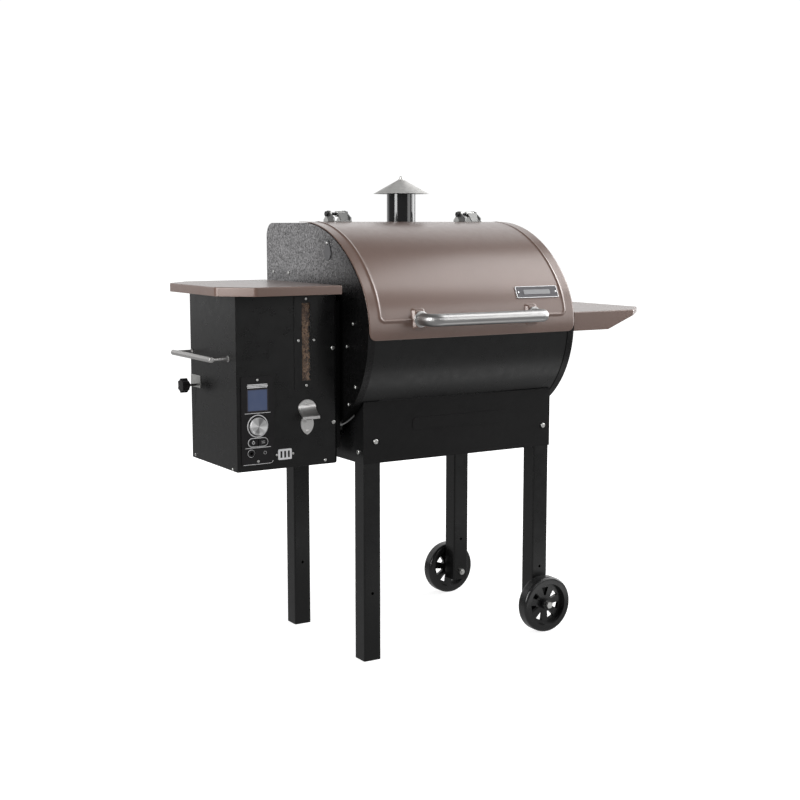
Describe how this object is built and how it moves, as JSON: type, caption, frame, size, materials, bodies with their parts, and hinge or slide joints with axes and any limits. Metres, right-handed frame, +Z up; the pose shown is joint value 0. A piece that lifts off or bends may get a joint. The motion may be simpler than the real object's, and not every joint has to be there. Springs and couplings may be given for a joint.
{
  "type": "pellet smoker grill",
  "caption": "Barrel pellet smoker on a two-wheeled stand, with hinged lid, side pellet hopper with controller, chimney with conical cap and folded side shelf.",
  "frame": {"origin": "on the floor, under the middle of the whole grill", "axes": "+X along the barrel from the hopper to the side shelf, +Y from the lid handle to the back, +Z up"},
  "size_m": [1.323, 0.6475, 1.272],
  "materials": {
    "black_powder_coat": "satin black powder coat with a fine texture",
    "bronze_paint": "satin metallic bronze paint",
    "hammered_grey_paint": "speckled hammered dark grey paint",
    "stainless_steel": "brushed stainless steel",
    "zinc_plated_steel": "bright zinc plating",
    "galvanised_sheet": "dull pale grey galvanised sheet",
    "gloss_black_enamel": "gloss black heatproof enamel",
    "black_plastic": "matte black moulded plastic",
    "wheel_plastic": "satin black moulded plastic",
    "cast_iron": "rough cast iron",
    "bare_steel": "heat-browned bare steel",
    "plate_metal": "black face with a silver border",
    "blackened_steel": "blackened steel bolts and nuts",
    "grey_paint": "satin grey paint",
    "clear_plastic": "clear acrylic",
    "pellet_wood": "pressed wood pellets",
    "display_glass": "blue display window",
    "knob_aluminium": "turned aluminium",
    "motor_steel": "grey painted steel",
    "grate_enamel": "porcelain enamel over steel bars"
  },
  "bodies": {
    "grill": {"leg_front_left": "black_powder_coat", "leg_rear_left": "black_powder_coat", "leg_front_right": "black_powder_coat", "leg_rear_right": "black_powder_coat", "front_apron": "black_powder_coat", "rear_skirt": "black_powder_coat", "side_skirt_left": "black_powder_coat", "side_skirt_right": "black_powder_coat", "axle_bolts": "zinc_plated_steel", "barrel_shell": "black_powder_coat", "end_panel_left": "hammered_grey_paint", "end_panel_right": "hammered_grey_paint", "hinge_barrel_leaves": "zinc_plated_steel", "hinge_pins": "blackened_steel", "chimney_flue": "gloss_black_enamel", "panel_fasteners": "zinc_plated_steel", "temperature_probe": "stainless_steel", "hopper_shell": "black_powder_coat", "hopper_side_panel": "black_powder_coat", "hopper_bin": "galvanised_sheet", "hopper_guard": "bare_steel", "hopper_top_strip": "black_powder_coat", "window_frame": "black_powder_coat", "window_pane": "clear_plastic", "wood_pellets": "pellet_wood", "controller_panel": "black_plastic", "lcd_display": "display_glass", "badge_plate": "plate_metal", "bottle_opener": "stainless_steel", "hopper_handle": "stainless_steel", "power_inlet": "black_plastic", "auger_tube": "galvanised_sheet", "auger_motor": "motor_steel", "blower_housing": "galvanised_sheet", "fire_pot": "cast_iron", "igniter_rod": "bare_steel", "heat_deflector": "bare_steel", "grease_tray": "bare_steel", "cooking_grates": "grate_enamel", "warming_rack": "grate_enamel", "side_shelf": "bronze_paint"},
    "lid": {"barrel_lid": "bronze_paint", "lid_handle": "stainless_steel", "handle_flanges": "stainless_steel", "nameplate": "plate_metal", "hinge_lid_leaves": "zinc_plated_steel"},
    "hopper_cover": {"hopper_lid": "bronze_paint"},
    "front_wheel": {"wheel_front": "wheel_plastic"},
    "rear_wheel": {"wheel_rear": "wheel_plastic"},
    "knob": {"control_knob": "knob_aluminium"},
    "left_button": {"button_left": "black_plastic"},
    "right_button": {"button_right": "black_plastic"},
    "port_flap": {"probe_port_cover": "grey_paint"},
    "gate": {"purge_gate": "zinc_plated_steel"},
    "gate_knob": {"purge_knob": "black_plastic"},
    "auger": {"auger_screw": "bare_steel"},
    "fan": {"blower_impeller": "black_plastic"},
    "shutter": {"ash_shutter": "bare_steel"},
    "ash_can": {"ash_cup": "black_powder_coat"},
    "flue_cap": {"chimney_cap": "galvanised_sheet"}
  },
  "joints": [
    {"name": "lid_hinge", "type": "hinge", "parent": "grill", "child": "lid", "pos_m": [0.023, 0.132, 1.163], "axis": [-1, 0, 0], "range_deg": [0, 100]},
    {"name": "hopper_lid_hinge", "type": "hinge", "parent": "grill", "child": "hopper_cover", "pos_m": [-0.3445, 0.041, 0.9685], "axis": [0, 1, 0], "range_deg": [0, 95]},
    {"name": "wheel_front_spin", "type": "hinge", "parent": "grill", "child": "front_wheel", "pos_m": [0.297, -0.19, 0.078], "axis": [0, 1, 0], "continuous": true},
    {"name": "wheel_rear_spin", "type": "hinge", "parent": "grill", "child": "rear_wheel", "pos_m": [0.297, 0.296, 0.078], "axis": [0, 1, 0], "continuous": true},
    {"name": "knob_turn", "type": "hinge", "parent": "grill", "child": "knob", "pos_m": [-0.5495, -0.128, 0.638], "axis": [0, 1, 0], "continuous": true},
    {"name": "button_left_press", "type": "slide", "parent": "grill", "child": "left_button", "axis": [0, 1, 0], "range_m": [0, 0.0012], "stiffness_N_per_m": 200, "springref_m": -0.0005},
    {"name": "button_right_press", "type": "slide", "parent": "grill", "child": "right_button", "axis": [0, 1, 0], "range_m": [0, 0.0012], "stiffness_N_per_m": 200, "springref_m": -0.0005},
    {"name": "port_flap_swing", "type": "hinge", "parent": "grill", "child": "port_flap", "pos_m": [-0.303, -0.0345, 1.087], "axis": [1, 0, 0], "range_deg": [-120, 120]},
    {"name": "purge_gate_slide", "type": "slide", "parent": "grill", "child": "gate", "axis": [-1, 0, 0], "range_m": [0, 0.09]},
    {"name": "purge_knob_turn", "type": "hinge", "parent": "gate", "child": "gate_knob", "pos_m": [-0.64, 0.129, 0.721], "axis": [1, 0, 0], "continuous": true},
    {"name": "auger_spin", "type": "hinge", "parent": "grill", "child": "auger", "pos_m": [-0.25, 0.041, 0.655], "axis": [1, 0, 0], "continuous": true},
    {"name": "fan_spin", "type": "hinge", "parent": "grill", "child": "fan", "pos_m": [-0.38, -0.031, 0.61], "axis": [1, 0, 0], "continuous": true},
    {"name": "ash_shutter_slide", "type": "slide", "parent": "grill", "child": "shutter", "axis": [0, -1, 0], "range_m": [0, 0.042]},
    {"name": "ash_cup_drop", "type": "slide", "parent": "grill", "child": "ash_can", "axis": [0, 0, -1], "range_m": [0, 0.06]},
    {"name": "chimney_cap_lift", "type": "slide", "parent": "grill", "child": "flue_cap", "axis": [0, 0, 1], "range_m": [0, 0.02]}
  ]
}
